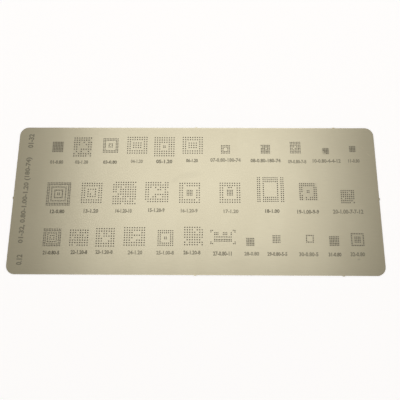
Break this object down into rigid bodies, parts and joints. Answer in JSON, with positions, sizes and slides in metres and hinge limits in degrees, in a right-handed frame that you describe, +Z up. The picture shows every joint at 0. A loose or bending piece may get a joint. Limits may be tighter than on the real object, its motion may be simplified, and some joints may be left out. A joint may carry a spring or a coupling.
{
  "type": "solder paste stencil",
  "caption": "Thin flat steel sheet with rounded corners and fields of small round apertures, one field per chip, for printing solder paste or placing solder balls.",
  "frame": {"origin": "middle of the sheet's underside", "axes": "+X along the sheet, towards the end that the last fields of each row are at; +Y towards the top row; +Z up through the thickness"},
  "size_m": [0.1806, 0.0746, 0.0001],
  "materials": {
    "steel_sheet": "satin rolled stainless steel with dark etched numbers"
  },
  "bodies": {
    "root": {"stencil_sheet": "steel_sheet"}
  },
  "joints": []
}
